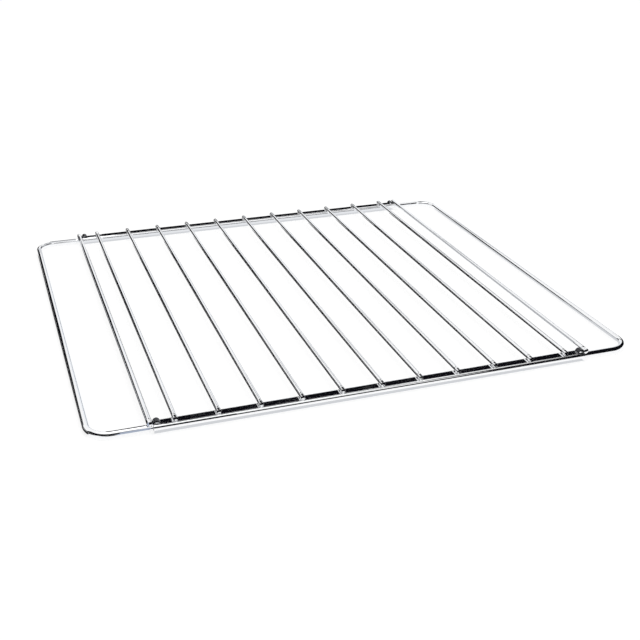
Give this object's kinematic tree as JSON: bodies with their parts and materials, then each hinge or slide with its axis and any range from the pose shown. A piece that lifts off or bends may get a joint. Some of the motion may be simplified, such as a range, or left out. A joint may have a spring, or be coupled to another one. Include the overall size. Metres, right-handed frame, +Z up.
{
  "type": "oven shelf rack",
  "caption": "Extending chrome oven shelf: cross wires welded onto two folded rails, with a bent rod frame that slides out of each end to suit the width of the oven.",
  "frame": {"origin": "centre of the closed shelf, on the plane under the rails", "axes": "+X along the rails to the right, +Y to the back of the oven, +Z up"},
  "size_m": [0.35, 0.32, 0.008],
  "materials": {
    "rail_chrome": "bright plated folded steel sheet",
    "wire_chrome": "bright plated drawn steel wire",
    "rod_chrome": "bright plated steel rod"
  },
  "bodies": {
    "grid": {"front_rail": "rail_chrome", "rear_rail": "rail_chrome", "cross_wire_01": "wire_chrome", "cross_wire_02": "wire_chrome", "cross_wire_03": "wire_chrome", "cross_wire_04": "wire_chrome", "cross_wire_05": "wire_chrome", "cross_wire_06": "wire_chrome", "cross_wire_07": "wire_chrome", "cross_wire_08": "wire_chrome", "cross_wire_09": "wire_chrome", "cross_wire_10": "wire_chrome", "cross_wire_11": "wire_chrome"},
    "left_extension": {"left_extension_frame": "rod_chrome", "left_extension_wire": "wire_chrome"},
    "right_extension": {"right_extension_frame": "rod_chrome", "right_extension_wire": "wire_chrome"}
  },
  "joints": [
    {"name": "left_slide", "type": "slide", "parent": "grid", "child": "left_extension", "axis": [-1, 0, 0], "range_m": [0, 0.105]},
    {"name": "right_slide", "type": "slide", "parent": "grid", "child": "right_extension", "axis": [1, 0, 0], "range_m": [0, 0.105]}
  ]
}
